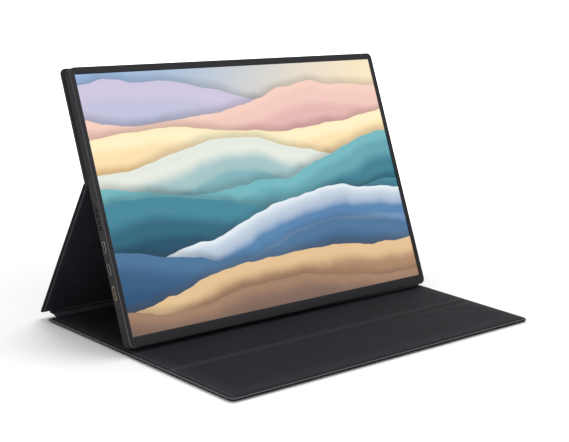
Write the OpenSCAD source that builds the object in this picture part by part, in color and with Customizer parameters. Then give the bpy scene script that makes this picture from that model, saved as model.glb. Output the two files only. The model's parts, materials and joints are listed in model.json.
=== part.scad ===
// Portable monitor standing in its folding cover.
// +X is the monitor's right, -Y is its front and +Z is up. The origin is on the table,
// in the middle of the footprint of the opened cover.

/* [Screen] */
// Width of the picture area
screen_w = 344.7; // [300:0.1:360]
// Height of the picture area
screen_h = 215.4; // [180:0.1:230]
// Bezel left and right of the picture
bezel_side = 4.4; // [4:0.1:8]
// Bezel above the picture
bezel_top = 5.5; // [5:0.1:9]
// Bezel below the picture
bezel_bottom = 8.4; // [8:0.1:12]

/* [Display housing] */
// Thickness of the display, front to back
display_t = 9.2; // [9.2:0.1:11]
// Radius of the display's four corners
corner_r = 5; // [3.5:0.5:5]
// Thickness of the housing's side walls
wall = 1.5; // [1.2:0.1:1.6]
// Thickness of the housing's back
back_t = 1.2; // [1:0.1:1.3]
// Height of the front frame above the housing
frame_t = 1.6; // [1.4:0.1:1.8]
// Radius of the lower rear edge, which stands on the cover
foot_r = 1.5; // [1:0.1:2]

/* [Keys and sockets] */
// Diameter of a key
key_d = 2; // [1.8:0.1:2.4]
// Distance from key to key
key_pitch = 4.9; // [4.5:0.1:5.5]
// Height of the highest key above the display's lower edge
key_top = 113.2; // [112:0.1:114]
// How far a key stands out of the wall
key_proud = 0.3; // [0.2:0.05:0.35]
// Height of the status light above the lower edge
light_up = 118; // [117.5:0.1:119]
// Height of the upper USB-C socket above the lower edge
usb_upper_up = 83.2; // [82:0.1:84]
// Height of the lower USB-C socket above the lower edge
usb_lower_up = 64.8; // [64:0.1:66]
// Height of the mini HDMI socket above the lower edge
hdmi_up = 45.8; // [45:0.1:46]
// Distance of keys and USB-C sockets from the back
port_depth = 3.3; // [3.3:0.05:3.4]

/* [Cover] */
// Width of the cover
cover_w = 356.2; // [355:0.1:362]
// Thickness of a panel where it holds a board
panel_t = 2.4; // [2.4:0.1:3]
// Thickness of the bonded rim round the boards
rim_t = 1.8; // [1.6:0.1:1.8]
// Width of the bonded rim
rim_w = 3.2; // [2.5:0.1:4]
// Depth of the base, front edge to spine
base_depth = 233.4; // [233:0.1:236]
// Depth of the front flap, from its fold
flap_depth = 67; // [64:0.5:70]
// Distance from the base's front edge to the middle of the first groove
groove_from_front = 131.5; // [131.5:0.1:132.5]
// Width of a groove between two boards
groove_w = 8.4; // [7:0.1:9]
// Depth of the spine, from the base to the leg's fold
spine_depth = 11.2; // [10.8:0.1:12]
// How much the spine rises from the base to the leg's fold
spine_rise = 1.3; // [1:0.1:1.5]
// How much shorter the spine is than the panels, at each end
spine_inset = 9; // [7:0.5:11]
// Radius of the cover's outer corners
cover_r = 5; // [4:0.5:8]

/* [Stand] */
// Angle by which the screen leans back from upright
lean = 23.7; // [23:0.1:24.5]
// Distance from the base's front edge to the monitor's foot
foot_from_front = 129.5; // [129:0.1:130]
// Height of the upper fold above the monitor's foot, along its back
fold_up = 137; // [136:0.5:138]
// How far the upper panel passes the monitor's top edge
overhang = 2; // [0:0.1:4]
// Radius of the rolled folds
fold_r = 1.2; // [1:0.05:1.2]

/* [Hidden] */
$fn = 48;

// Display, in its own frame: y runs up the screen, z out of its front.
display_w = screen_w + 2 * bezel_side;
display_h = screen_h + bezel_bottom + bezel_top;
housing_t = display_t - frame_t;
lip_t = frame_t / 2;
cavity_x = display_w / 2 - wall;
cavity_r = corner_r - wall;
side_x = -display_w / 2;
key_x = side_x - key_proud;
// Place of what is x further in than the left wall's face.
function in_x(x) = side_x + x;
// Layers behind the glass: thickness, and place of the back face.
tape_t = 0.2;
cell_t = 1;
films_t = 0.4;
guide_t = 0.8;
mirror_t = 0.15;
tray_t = 0.35;
layer_gap = 0.05;
glass_z = display_t - lip_t - cell_t - tape_t;
films_z = glass_z - films_t - layer_gap;
guide_z = films_z - guide_t - layer_gap;
mirror_z = guide_z - mirror_t - layer_gap;
tray_z = mirror_z - tray_t - layer_gap;
// How far each layer stays inside the cavity: at its sides, lower edge and upper edge.
tape_in = [0.65, 1.1, 1.2];
cell_in = [0.25, 0.7, 0.8];
films_in = [0.85, 4.5, 1.4];
guide_in = [1.05, 5.5, 1.6];
mirror_in = [1.05, 3.1, 1.6];
tray_in = [0.35, 1.1, 0.8];
tray_wall = 0.4;
led_bar_w = 2.3;
led_bar_in = 3.25;
tape_window = 0.55;
// Electronics, behind the tray.
main_board_z = 2.8;
main_board_t = 0.8;
board_top = main_board_z + main_board_t;
key_board_z = 1.5;
key_board_t = 0.7;
driver_board_z = 4.3;
driver_chip_t = 0.9;
can_t = 0.2;
can_h = 1.3;
light_z = 2.8;
light_r = 0.6;
// Sockets, set back from the wall's face.
socket_front = side_x + 0.25;
socket_wall = 0.3;
socket_gap = 0.15;
usb_w = 8.94;
usb_h = 3.2;
usb_l = 7;
usb_tongue_w = 6.6;
usb_tongue_t = 0.7;
hdmi_z = 3.2;
hdmi_w = 11.3;
hdmi_h = 3.2;
hdmi_l = 7.5;
hdmi_tongue_w = 8.4;
socket_back_t = 0.4;
tongue_setback = 0.9;
// Connector of the panel's ribbon, from the left wall's face.
ribbon_from = 61.75;
ribbon_to = 71.75;
// Sound slots.
speaker_x = -in_x(29.75);
slot_count = 8;
slot_pitch = 4;
slot_w = 1.2;
slot_from = 17;
slot_to = 26;
// Posts for the boards' screws, magnets and keys.
screw_posts = [for (x = [18.75, 67.75], up = [38.5, 90]) [in_x(x), up]];
key_posts = [for (up = [97.5, 118.5]) [in_x(14.25), up]];
magnet_xs = [-120, -40, 40, 120];
magnet_up = display_h - 39.3;
key_gap = 0.5;
key_collar = 0.6;
key_z = port_depth + 0.1;
function key_up(i) = key_top - i * key_pitch;

// Cover panel layers, from the outer face.
skin_t = 0.6;
board_gap = 0.1;
board_in = 0.6;
board_inset = rim_w + board_in;
board_r = 2;
// Radii of the panels' corners at a fold, and at the flap's slit.
fold_corner_r = 1;
slit_corner_r = 0.5;
board_top_z = rim_t - 0.05;
field_r = 3;
magnet_l = 50;
magnet_w = 10;
cover_y0 = -(base_depth + spine_depth + fold_r) / 2;
base_rear_y = cover_y0 + base_depth;
flap_fold_y = cover_y0 + flap_depth;
groove_y = cover_y0 + groove_from_front;
flap_slit = 0.3;

// The monitor's foot stands foot_gap above the panels, on a round edge.
foot_gap = 0.3;
foot_y = cover_y0 + foot_from_front;
foot_z = panel_t + foot_gap + foot_r - foot_r * (cos(lean) + sin(lean));

// Axes of the two folds of the leg.
fold_gap = 0.3;
fold_off = fold_r + fold_gap;
table_gap = 0.4;
hinge_y = base_rear_y + spine_depth;
hinge_z = fold_r + table_gap + spine_rise;
apex_y = foot_y + fold_up * sin(lean) + fold_off * cos(lean);
apex_z = foot_z + fold_up * cos(lean) - fold_off * sin(lean);
leg_angle = atan2(apex_z - hinge_z, hinge_y - apex_y);
leg_len = norm([hinge_y - apex_y, apex_z - hinge_z]);
leg_from = fold_off;
leg_to = leg_len - fold_off;
fold_web_t = 1;
upper_fold_in = 0.3;
upper_from = fold_up + fold_off;
upper_to = display_h + overhang;
upper_gap = 0.1;
fold_rim_w = 1.5;

shell_color = "#2a2a2c";
skin_color = "#1f1f22";
lining_color = "#2c2c30";
board_color = "#8a7a62";
circuit_color = "#1f5a3c";
metal_color = "#c9c9cc";
magnet_color = "#9a9aa0";

// ---- Frames ----

module in_display() translate([0, foot_y, foot_z]) rotate([90 - lean, 0, 0]) children();

module in_leg() translate([0, hinge_y, hinge_z]) rotate([180 - leg_angle, 0, 0]) children();

// ---- Shared shapes ----

// A block from its lowest to its highest corner.
module block(low, high) translate(low) cube(high - low);

// A plate outline, centred on x, with its own corner radius at each end.
module outline(w, y0, y1, r0, r1) {
    translate([-w / 2, y0 + r0]) square([w, y1 - y0 - r0 - r1]);
    translate([-w / 2 + r0, y0]) square([w - 2 * r0, y1 - y0 - r1]);
    translate([-w / 2 + r1, y1 - r1 - r0]) square([w - 2 * r1, r0 + r1]);
    for (side = [-1, 1]) {
        translate([side * (w / 2 - r0), y0 + r0]) circle(r0);
        translate([side * (w / 2 - r1), y1 - r1]) circle(r1);
    }
}

module slab(w, y0, y1, r0, r1, z0, z1)
    translate([0, 0, z0]) linear_extrude(z1 - z0) outline(w, y0, y1, r0, r1);

// A rod along x.
module rod_x(x0, x1, r) translate([x0, 0, 0]) rotate([0, 90, 0]) cylinder(h = x1 - x0, r = r);

// A bar along x with a stadium section: w along y, h along z.
module stadium_x(x0, x1, w, h) translate([x0, 0, 0]) rotate([90, 0, 90]) linear_extrude(x1 - x0) {
    square([w - h, h], center = true);
    for (side = [-1, 1]) translate([side * (w - h) / 2, 0]) circle(h / 2);
}

// A bar along x with a mini HDMI section: both corners towards the back are cut off.
module hdmi_x(x0, x1, w, h) translate([x0, 0, 0]) rotate([90, 0, 90]) linear_extrude(x1 - x0)
    polygon([[-w / 2, h / 2], [w / 2, h / 2], [w / 2, -h / 6], [w / 2 - h / 3, -h / 2],
             [-w / 2 + h / 3, -h / 2], [-w / 2, -h / 6]]);

module at_port(up, z) translate([0, up, z]) children();

// ---- Cover panels, outer face at z = 0 ----

module panel_skin(w, y0, y1, r0, r1) color(skin_color) slab(w, y0, y1, r0, r1, 0, skin_t);

module panel_board(w, y0, y1) color(board_color)
    slab(w - 2 * board_inset, y0 + board_in, y1 - board_in, board_r, board_r, skin_t, board_top_z);

// fields lists the raised areas, each [from y, to y], that hold a board.
module panel_lining(w, y0, y1, r0, r1, fields) color(lining_color) difference() {
    union() {
        slab(w, y0, y1, r0, r1, skin_t, rim_t);
        for (f = fields) slab(w - 2 * rim_w, f[0], f[1], field_r, field_r, skin_t, panel_t);
    }
    for (f = fields)
        slab(w - 2 * board_inset + 2 * board_gap, f[0] + board_in - board_gap, f[1] - board_in + board_gap,
             board_r, board_r, 0, rim_t);
}

// Bar magnets with their middles at xs and y, from z0 to z1. gap is added at every side.
module magnet_bars(xs, y, z0, z1, gap = 0) for (x = xs)
    block([x - magnet_l / 2 - gap, y - magnet_w / 2 - gap, z0],
          [x + magnet_l / 2 + gap, y + magnet_w / 2 + gap, z1]);

// ---- Display ----

module front_frame() in_display() color(shell_color) difference() {
    slab(display_w, 0, display_h, corner_r, corner_r, housing_t, display_t);
    slab(2 * cavity_x, wall, display_h - wall, cavity_r, cavity_r, housing_t - 1, display_t - lip_t);
    block([-screen_w / 2, bezel_bottom, 0], [screen_w / 2, bezel_bottom + screen_h, display_t + 1]);
}

// A layer of the screen in the cavity, from z0 to z1. more is added to its gap at every side.
module layer(gaps, z0, z1, more = 0)
    block([-cavity_x + gaps[0] + more, wall + gaps[1] + more, z0],
          [cavity_x - gaps[0] - more, display_h - wall - gaps[2] - more, z1]);

module screen_tape() in_display() color("#111111") difference() {
    layer(tape_in, glass_z + cell_t, glass_z + cell_t + tape_t);
    block([-screen_w / 2 - tape_window, bezel_bottom - tape_window, 0],
          [screen_w / 2 + tape_window, bezel_bottom + screen_h + tape_window, display_t]);
}

module lcd_cell() in_display() color("#7fa6bd") layer(cell_in, glass_z, glass_z + cell_t);

module diffuser_films() in_display() color("#eef0f0") layer(films_in, films_z, films_z + films_t);

module light_guide() in_display() color("#dfeef2") layer(guide_in, guide_z, guide_z + guide_t);

module led_bar() in_display() color("#f2f0d8")
    block([-cavity_x + led_bar_in, wall + mirror_in[1], guide_z],
          [cavity_x - led_bar_in, wall + mirror_in[1] + led_bar_w, guide_z + guide_t]);

module reflector_sheet() in_display() color("#fafafa") layer(mirror_in, mirror_z, mirror_z + mirror_t);

module panel_tray() in_display() color(metal_color) difference() {
    layer(tray_in, tray_z, films_z + films_t);
    layer(tray_in, tray_z + tray_t, display_t, tray_wall);
}

module driver_board() in_display() color(circuit_color) {
    block([in_x(ribbon_from), 3.5, driver_board_z], [-in_x(ribbon_from), 12.5, driver_board_z + 0.6]);
    for (x = [-80:40:80]) block([x - 7, 6, driver_board_z - driver_chip_t], [x + 7, 9.5, driver_board_z]);
}

module panel_ribbon() in_display() color("#d8b25a")
    block([in_x(ribbon_from + 1), 12.5, driver_board_z], [in_x(ribbon_to - 1), 60, driver_board_z + 0.2]);

// The row of sound slots through the back, in front of a speaker at x.
module sound_slots(x) for (i = [0:slot_count - 1])
    translate([x + (i - (slot_count - 1) / 2) * slot_pitch, 0, -1]) linear_extrude(back_t + 2) {
        translate([-slot_w / 2, slot_from]) square([slot_w, slot_to - slot_from]);
        for (y = [slot_from, slot_to]) translate([0, y]) circle(slot_w / 2);
    }

// Round posts up from the back to z1.
module posts(places, z1, r) for (p = places)
    translate([p[0], p[1], back_t - 0.1]) cylinder(h = z1 - back_t + 0.1, r = r);

module screw_holes(places, z0, z1, r) for (p = places)
    translate([p[0], p[1], z0]) cylinder(h = z1 - z0, r = r);

// What is left outside a round lower rear edge.
module foot_cut() rotate([90, 0, 90]) linear_extrude(display_w + 2, center = true) difference() {
    translate([-1, -1]) square(foot_r + 1);
    translate([foot_r, foot_r]) circle(foot_r + 0.02);
}

module rear_housing() in_display() color(shell_color) difference() {
    union() {
        difference() {
            slab(display_w, 0, display_h, corner_r, corner_r, 0, housing_t);
            slab(2 * cavity_x, wall, display_h - wall, cavity_r, cavity_r, back_t, housing_t + 1);
        }
        posts(screw_posts, main_board_z, 2);
        posts(key_posts, key_board_z, 1.8);
    }
    screw_holes(screw_posts, back_t + 0.2, housing_t, 0.7);
    screw_holes(key_posts, back_t - 0.5, housing_t, 0.7);
    sound_slots(-speaker_x);
    sound_slots(speaker_x);
    for (up = [usb_upper_up, usb_lower_up]) at_port(up, port_depth)
        stadium_x(side_x - 1, side_x + wall + 1, usb_w + 2 * socket_gap, usb_h + 2 * socket_gap);
    at_port(hdmi_up, hdmi_z)
        hdmi_x(side_x - 1, side_x + wall + 1, hdmi_w + 2 * socket_gap, hdmi_h + 2 * socket_gap);
    for (i = [0:3]) at_port(key_up(i), key_z)
        rod_x(side_x - 1, side_x + wall + 1, key_d / 2 + key_gap);
    at_port(light_up, light_z) rod_x(side_x - 1, side_x + wall + 1, light_r + 0.05);
    foot_cut();
}

// Room in the main board for a socket of width w and length l.
module board_notch(up, w, l)
    block([side_x, up - w / 2 - socket_gap, 0], [socket_front + l + 0.2, up + w / 2 + socket_gap, tray_z]);

module main_board() in_display() color(circuit_color) difference() {
    block([-cavity_x + 1, 34, main_board_z], [in_x(ribbon_to + 1), 94, board_top]);
    for (up = [usb_upper_up, usb_lower_up]) board_notch(up, usb_w, usb_l);
    board_notch(hdmi_up, hdmi_w, hdmi_l);
    screw_holes(screw_posts, 0, tray_z, 1);
}

module main_chips() in_display() color("#18181a") {
    block([in_x(32.75), 57, board_top], [in_x(46.75), 71, board_top + 0.9]);
    for (up = [usb_upper_up, usb_lower_up])
        block([in_x(12.75), up - 3, board_top], [in_x(18.75), up + 3, board_top + 0.8]);
    for (y = [44, 50]) block([in_x(26.75), y - 2, board_top], [in_x(31.75), y + 2, board_top + 1]);
    block([in_x(ribbon_from), 53, board_top], [in_x(ribbon_to), 60, driver_board_z]);
    block([in_x(41.75), 84, board_top], [in_x(53.75), 90, board_top + 1]);
}

module shield_can() in_display() color(metal_color) difference() {
    block([in_x(26.75), 54, board_top], [in_x(52.75), 76, board_top + can_h]);
    block([in_x(26.75) + can_t, 54 + can_t, 0], [in_x(52.75) - can_t, 76 - can_t, board_top + can_h - can_t]);
}

module screws(places, z0, seat) for (p = places) translate([p[0], p[1], 0]) {
    translate([0, 0, z0]) cylinder(h = seat - z0 + 0.1, r = 0.65);
    translate([0, 0, seat]) cylinder(h = 0.7, r = 1.5);
}

module board_screws() in_display() color(metal_color) {
    screws(screw_posts, 1.6, board_top);
    screws(key_posts, 0.9, key_board_z + key_board_t);
}

module usb_c_shell(up) in_display() color(metal_color) at_port(up, port_depth) difference() {
    stadium_x(socket_front, socket_front + usb_l, usb_w, usb_h);
    stadium_x(socket_front - 1, socket_front + usb_l - socket_back_t,
              usb_w - 2 * socket_wall, usb_h - 2 * socket_wall);
}

module usb_c_upper() usb_c_shell(usb_upper_up);

module usb_c_lower() usb_c_shell(usb_lower_up);

module usb_c_tongues() in_display() color("#202022") for (up = [usb_upper_up, usb_lower_up])
    block([socket_front + tongue_setback, up - usb_tongue_w / 2, port_depth - usb_tongue_t / 2],
          [socket_front + usb_l - socket_back_t, up + usb_tongue_w / 2, port_depth + usb_tongue_t / 2]);

module mini_hdmi() in_display() color("#c8a860") at_port(hdmi_up, hdmi_z) difference() {
    hdmi_x(socket_front, socket_front + hdmi_l, hdmi_w, hdmi_h);
    hdmi_x(socket_front - 1, socket_front + hdmi_l - socket_back_t,
           hdmi_w - 2 * socket_wall, hdmi_h - 2 * socket_wall);
}

module mini_hdmi_tongue() in_display() color("#202022")
    block([socket_front + tongue_setback, hdmi_up - hdmi_tongue_w / 2, hdmi_z - 0.1],
          [socket_front + hdmi_l - socket_back_t, hdmi_up + hdmi_tongue_w / 2, hdmi_z + 0.6]);

module button_board() in_display() color(circuit_color) difference() {
    block([in_x(3.55), 95.5, key_board_z], [in_x(17.25), 121, key_board_z + key_board_t]);
    screw_holes(key_posts, 0, tray_z, 1);
}

module key_switches() in_display() color("#18181a") {
    for (i = [0:3]) at_port(key_up(i), key_z) {
        block([in_x(3.55), -1.75, key_board_z + key_board_t - key_z], [in_x(6.55), 1.75, 1.2]);
        rod_x(in_x(2.85), in_x(3.65), 0.6);
    }
    block([in_x(4.15), light_up - 0.8, key_board_z + key_board_t],
          [in_x(5.75), light_up + 0.8, light_z + 0.5]);
}

module status_light() in_display() color("#dfe8ee") at_port(light_up, light_z)
    rod_x(in_x(0.02), in_x(3.75), light_r);

// Keys are numbered from the top. The collar keeps each one behind the wall.
module key(i) in_display() color("#26262a") at_port(key_up(i), key_z) {
    rod_x(key_x, side_x + wall + 0.2, key_d / 2);
    rod_x(side_x + wall + 0.1, side_x + wall + 0.7, key_d / 2 + key_collar);
}

module power_button() key(0);

module menu_button() key(1);

module plus_button() key(2);

module minus_button() key(3);

module speaker_box(x) in_display() color("#1c1c1e")
    block([x - 24, slot_from - 3, back_t + 0.1], [x + 24, slot_to + 4, tray_z - 0.6]);

module speaker_left() speaker_box(-speaker_x);

module speaker_right() speaker_box(speaker_x);

module housing_magnets() in_display() color(magnet_color)
    magnet_bars(magnet_xs, magnet_up, back_t, back_t + 1.6);

// ---- Upper panel, held to the monitor's back by magnets ----

module in_upper() in_display() translate([0, 0, -panel_t - upper_gap]) children();

upper_field = [upper_from + fold_rim_w, upper_to - rim_w];

module upper_skin() in_upper() panel_skin(cover_w, upper_from, upper_to, fold_corner_r, cover_r);

module upper_board() in_upper() color(board_color) difference() {
    panel_board(cover_w, upper_field[0], upper_field[1]);
    magnet_bars(magnet_xs, magnet_up, 0, panel_t, board_gap);
}

module upper_lining() in_upper()
    panel_lining(cover_w, upper_from, upper_to, fold_corner_r, cover_r, [upper_field]);

module cover_magnets() in_upper() color(magnet_color)
    magnet_bars(magnet_xs, magnet_up, skin_t, board_top_z);

// ---- Leg ----

module in_leg_panel() in_leg() translate([0, 0, -fold_r]) children();

leg_field = [leg_from + fold_rim_w, leg_to - fold_rim_w];

// Rolled fold at y, with a web that reaches back to the leg's rim.
module rolled_fold(w, y, rim_y) color(skin_color) {
    translate([0, y, 0]) rod_x(-w / 2, w / 2, fold_r);
    block([-w / 2, min(y, rim_y), -fold_web_t / 2], [w / 2, max(y, rim_y), fold_web_t / 2]);
}

module upper_fold() in_leg() rolled_fold(cover_w - 2 * upper_fold_in, leg_len, leg_to);

module leg_skin() in_leg_panel() panel_skin(cover_w, leg_from, leg_to, fold_corner_r, fold_corner_r);

module leg_board() in_leg_panel() panel_board(cover_w, leg_field[0], leg_field[1]);

module leg_lining() in_leg_panel()
    panel_lining(cover_w, leg_from, leg_to, fold_corner_r, fold_corner_r, [leg_field]);

module lower_fold() in_leg() rolled_fold(cover_w - 2 * spine_inset, 0, leg_from);

// ---- Base, on the table ----

spine_w = cover_w - 2 * spine_inset;
spine_end = hinge_y - fold_off;
stiffener_in = 2;
rear_field = [groove_y + groove_w / 2, base_rear_y - rim_w];
mid_field = [flap_fold_y + groove_w / 2, groove_y - groove_w / 2];
flap_field = [cover_y0 + rim_w, flap_fold_y - groove_w / 2];
flap_magnet_xs = [-120, 0, 120];
flap_magnet_y = cover_y0 + 14;

function spine_z(y) = spine_rise * (y - base_rear_y) / spine_depth;

// A bar along x that rises with the spine: from y0 to y1, z0 to z1 above the spine's lower face.
module spine_bar(w, y0, y1, z0, z1) translate([-w / 2, 0, 0]) rotate([90, 0, 90]) linear_extrude(w)
    polygon([[y0, spine_z(y0) + z0], [y1, spine_z(y1) + z0],
             [y1, spine_z(y1) + z1], [y0, spine_z(y0) + z1]]);

module stiffener_bar(gap)
    spine_bar(spine_w - 2 * (rim_w - gap), base_rear_y + stiffener_in - gap,
              spine_end - stiffener_in + gap, skin_t - gap / 2, rim_t - skin_t + gap / 2);

module spine_strip() color(skin_color) difference() {
    spine_bar(spine_w, base_rear_y, spine_end, 0, rim_t);
    stiffener_bar(board_gap);
}

module spine_stiffener() color(board_color) stiffener_bar(0);

module base_skin()
    panel_skin(cover_w, flap_fold_y + flap_slit / 2, base_rear_y, slit_corner_r, fold_corner_r);

module rear_board() panel_board(cover_w, rear_field[0], rear_field[1]);

module mid_board() panel_board(cover_w, mid_field[0], mid_field[1]);

module base_lining()
    panel_lining(cover_w, flap_fold_y + flap_slit / 2, base_rear_y, slit_corner_r, fold_corner_r,
                 [rear_field, mid_field]);

// ---- Front flap ----

module flap_skin() panel_skin(cover_w, cover_y0, flap_fold_y - flap_slit / 2, cover_r, slit_corner_r);

module flap_board() color(board_color) difference() {
    panel_board(cover_w, flap_field[0], flap_field[1]);
    magnet_bars(flap_magnet_xs, flap_magnet_y, 0, panel_t, board_gap);
}

module flap_lining()
    panel_lining(cover_w, cover_y0, flap_fold_y - flap_slit / 2, cover_r, slit_corner_r, [flap_field]);

module flap_magnets() color(magnet_color)
    magnet_bars(flap_magnet_xs, flap_magnet_y, skin_t, board_top_z);

front_frame();
screen_tape();
lcd_cell();
diffuser_films();
light_guide();
led_bar();
reflector_sheet();
panel_tray();
driver_board();
panel_ribbon();
rear_housing();
main_board();
main_chips();
shield_can();
board_screws();
usb_c_upper();
usb_c_lower();
usb_c_tongues();
mini_hdmi();
mini_hdmi_tongue();
button_board();
key_switches();
status_light();
power_button();
menu_button();
plus_button();
minus_button();
speaker_left();
speaker_right();
housing_magnets();
upper_skin();
upper_board();
upper_lining();
cover_magnets();
upper_fold();
leg_skin();
leg_board();
leg_lining();
lower_fold();
spine_strip();
spine_stiffener();
base_skin();
rear_board();
mid_board();
base_lining();
flap_skin();
flap_board();
flap_lining();
flap_magnets();
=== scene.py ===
"""Portable monitor on its folding cover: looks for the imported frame. Everything is in metres."""

import json
import math

import bmesh
import bpy
from mathutils import Matrix, Vector, noise

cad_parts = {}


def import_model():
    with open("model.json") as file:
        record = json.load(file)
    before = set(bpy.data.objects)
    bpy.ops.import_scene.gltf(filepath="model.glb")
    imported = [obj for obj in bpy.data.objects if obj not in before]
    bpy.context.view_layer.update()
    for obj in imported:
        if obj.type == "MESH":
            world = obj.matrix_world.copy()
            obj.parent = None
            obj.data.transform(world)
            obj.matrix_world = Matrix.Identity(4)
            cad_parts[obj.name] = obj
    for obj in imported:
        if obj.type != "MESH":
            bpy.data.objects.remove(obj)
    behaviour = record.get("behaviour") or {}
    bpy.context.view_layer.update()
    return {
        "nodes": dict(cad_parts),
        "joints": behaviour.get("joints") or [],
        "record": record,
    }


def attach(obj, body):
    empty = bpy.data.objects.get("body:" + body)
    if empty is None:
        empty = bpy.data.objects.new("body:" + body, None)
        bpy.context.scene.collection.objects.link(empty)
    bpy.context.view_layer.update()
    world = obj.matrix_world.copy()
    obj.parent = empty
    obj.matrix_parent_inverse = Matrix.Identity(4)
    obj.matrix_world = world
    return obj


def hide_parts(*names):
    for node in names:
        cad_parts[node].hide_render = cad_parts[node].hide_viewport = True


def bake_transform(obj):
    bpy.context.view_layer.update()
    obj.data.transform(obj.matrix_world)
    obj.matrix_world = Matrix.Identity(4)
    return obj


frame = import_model()
MM = 0.001

# ---- Camera, as the photograph was taken ----

PHOTO_W = 569
CAMERA_AZIMUTH = math.radians(-44.412)
CAMERA_ELEVATION = math.radians(13.107)
CAMERA_ROLL = math.radians(3.342)
CAMERA_DISTANCE = 1.1758
FOCAL_PIXELS = 1360.8
AIM_HEIGHT = 80 * MM
AIM_RIGHT = -5.89 * MM
AIM_UP = 6.15 * MM
SENSOR = 36.0
CLIP = (0.05, 50)

# ---- Display ----

CORNER_R = 5 * MM
CORNER_STEPS = 8
REAR_ROUND = 0.55 * MM
FOOT_ROUND = 1.5 * MM
FRAME_ROUND = 0.36 * MM
FRAME_LOWER_ROUND = 1.1 * MM
FRAME_W = 1.2 * MM
# The frame's edge gets a lighter colour, a painted highlight, where a normal lies this much along
# the front's, and less than EDGE_FOOT downwards.
EDGE_SLANT = (0.1, 0.98)
EDGE_FOOT = 0.6
SEAM = 0.12 * MM
# The edge of the frame's opening: how far outside the opening, and how far below the front.
OPENING_EDGE = [(0.25 * MM, 0), (0.05 * MM, 0.12 * MM)]
OPENING_R = 0.8 * MM
FRAME_LIP = 1 * MM
FRAME_OVER_GLASS = 0.02 * MM
GLASS_LIP = 1.5 * MM
GLASS_CHAMFER = 0.1 * MM
GLASS_R = 0.3 * MM
GLASS_MASK = 0.5 * MM
LEAST_R = 0.2 * MM
HOUSING_WALL = 1.5 * MM
HOUSING_FLOOR = 1.2 * MM
HOUSING_UNDER_FRAME = 0.01 * MM
OPENING_GAP = 0.15 * MM
KEY_GAP = 0.5 * MM
KEY_COLLAR = 0.6 * MM
KEY_COLLAR_T = 0.6 * MM
KEYS = ["power_button", "menu_button", "plus_button", "minus_button"]
# A key's face, from its middle to its rim: share of the radius, and depth in mm.
KEY_PROFILE = [(0, 0.10), (0.4, 0.08), (0.64, 0.02), (0.76, 0), (0.92, 0.09), (1.0, 0.22)]
KEY_MIDDLE_R = 0.02 * MM
KEY_SIDES = 32
LIGHT_GAP = 0.05 * MM
OPENING_CHAMFER = 0.15 * MM
WELL_CHAMFER = 0.3 * MM
WELL_REACH = 0.4 * MM
CUT_FROM = 0.4 * MM
CUT_DEPTH = 3 * MM
SLOT_PITCH = 4 * MM
SLOT_W = 1.2 * MM
SLOT_LENGTH = 10.2 * MM
SLOT_DOWN = 0.5 * MM
SLOT_CHAMFER = 0.2 * MM
SLOT_DEPTH = 2.2 * MM
SLOTS = 8
# A socket's contacts: how many, how far apart and how wide.
USB_CONTACTS = (12, 0.5 * MM, 0.26 * MM)
HDMI_CONTACTS = (10, 0.8 * MM, 0.4 * MM)
# The two USB sockets' tongues are one node, and each takes this share of its length.
USB_SHARE = 0.285
CONTACT_T = 0.04 * MM
CONTACT_SUNK = 0.02 * MM
CONTACT_TIP = 0.3

# ---- Cover ----

RIM_W = 3.2 * MM
FOLD_RIM_W = 1.5 * MM
SHOULDER_W = 1.3 * MM
SHOULDER_H = 0.55 * MM
LOWER_ROUND = 0.25 * MM
FRONT_CORNER_R = 5 * MM
REAR_CORNER_R = 1 * MM
RAMP = 2.2 * MM
FIELD_R = 3 * MM
GROOVE_W = 8.4 * MM
GROOVE_FROM_FRONT = 131.5 * MM
FOOTING = 0.04 * MM
RIPPLE = 0.05 * MM
RIPPLES_PER_METRE = 28
# Takes each panel to its own part of the ripples' noise.
RIPPLE_SHIFT = 900
# The spine's middle, in mm: behind the base's rear edge, and above the table.
SPINE_LEVEL = [(-3, 1.0), (0.4, 1.2), (4, 2.5), (7, 3.0)]
WEB_HALF = 0.5 * MM
WEB_ROUND = 0.3 * MM
UPPER_WEB_OUTSIDE = 1.0 * MM
FOLD_INSET = 0.2 * MM
# Each fold's radius, how far its web reaches into a panel, and half the length that turns.
UPPER_FOLD_R, UPPER_FOLD_REACH, UPPER_FOLD_TURN = 2 * MM, 6 * MM, 0.9 * MM
LOWER_FOLD_R, LOWER_FOLD_REACH, LOWER_FOLD_TURN = 1.1 * MM, 6 * MM, 0.6 * MM
SPINE_IN_LEG = 0.3 * MM
FINE_FIRST = 0.08 * MM
FINE_GROWTH = 1.35
FINE_STEP = 0.35 * MM
FINE_REACH = 5.2 * MM
FINE_MARGIN = 1.5 * MM
COARSE_STEP = 9 * MM

FRONT = Vector((0, -1, 0))
UP = Vector((0, 0, 1))
# How much of a face's normal lies along a direction: enough to look that way, almost all of
# it, and so little that the face belongs to a panel's side.
LOOKS_THERE, SQUARE_ON, SIDEWAYS = 0.8, 0.95, 0.3
SMOOTH_ANGLE, CRISP_ANGLE, SOFT_ANGLE = 40, 35, 50
# Points nearer than SAME_PLACE are one, and HAIR keeps two equal lengths just apart.
SAME_PLACE, HAIR = 1e-7, 1e-6


# ---- Places, all worked out from the frame ----

class Axes:
    """Directions of a flat part: x, up along the part, and out of its front or inner face."""

    def __init__(self, node, towards):
        faces = [f for f in frame["nodes"][node].data.polygons if f.normal.dot(towards) > LOOKS_THERE]
        self.out = max(faces, key=lambda face: face.area).normal.copy()
        self.up = Vector((0, self.out.z, -self.out.y))

    def box(self, *nodes):
        """Lowest and highest (x, up, out) of the nodes."""
        points = [(v.co.x, v.co.dot(self.up), v.co.dot(self.out))
                  for node in nodes for v in frame["nodes"][node].data.vertices]
        return [min(values) for values in zip(*points)], [max(values) for values in zip(*points)]

    def middle(self, node):
        return [(low + high) / 2 for low, high in zip(*self.box(node))]

    def size(self, node):
        return [high - low for low, high in zip(*self.box(node))]

    def place(self, x, up, out):
        return Vector((x, 0, 0)) + self.up * up + self.out * out


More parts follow.
